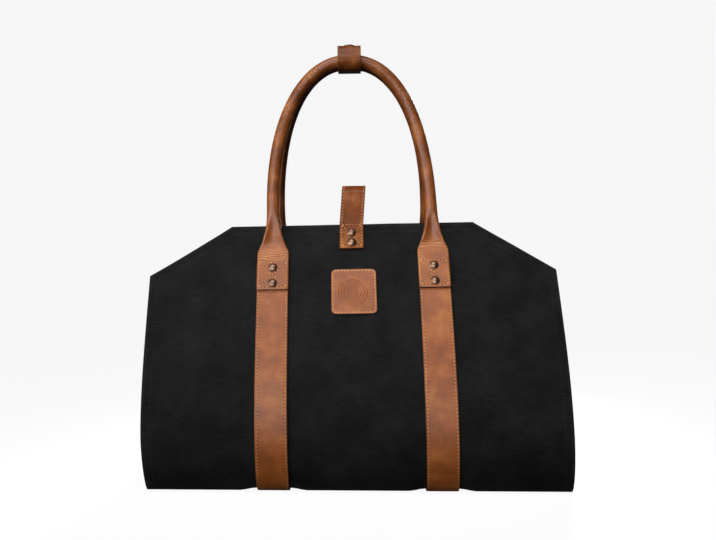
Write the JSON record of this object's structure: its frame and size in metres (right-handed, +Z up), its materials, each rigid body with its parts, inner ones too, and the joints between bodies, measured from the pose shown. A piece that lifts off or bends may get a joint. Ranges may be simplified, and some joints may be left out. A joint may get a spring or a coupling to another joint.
{
  "type": "canvas log carrier",
  "caption": "Waxed canvas sling for firewood with leather straps running under it, rolled leather handles joined by a snapped keeper, and a closure strap over the mouth.",
  "frame": {"origin": "on the floor under the middle of the base, where the canvas lies flat between the two straps", "axes": "+Z up, +X to the viewer's right along the logs, +Y away from the viewer; the front panel with the patch faces -Y"},
  "size_m": [0.5034, 0.2782, 0.5498],
  "materials": {
    "canvas": "matte waxed",
    "leather": "satin, pulled-up tan",
    "rivet_metal": "antiqued copper"
  },
  "bodies": {
    "root": {"canvas_sheet": "canvas", "strap_left": "leather", "strap_right": "leather", "handle_front": "leather", "handle_back": "leather", "closure_strap": "leather", "keeper_wrap": "leather", "keeper_snap_cap": "rivet_metal", "keeper_snap_stud": "rivet_metal", "patch": "leather", "rivet_front_left_upper": "rivet_metal", "rivet_front_left_lower": "rivet_metal", "rivet_front_right_upper": "rivet_metal", "rivet_front_right_lower": "rivet_metal", "rivet_back_left_upper": "rivet_metal", "rivet_back_left_lower": "rivet_metal", "rivet_back_right_upper": "rivet_metal", "rivet_back_right_lower": "rivet_metal", "closure_rivet_front_upper": "rivet_metal", "closure_rivet_front_lower": "rivet_metal", "closure_rivet_back_upper": "rivet_metal", "closure_rivet_back_lower": "rivet_metal"}
  },
  "joints": []
}
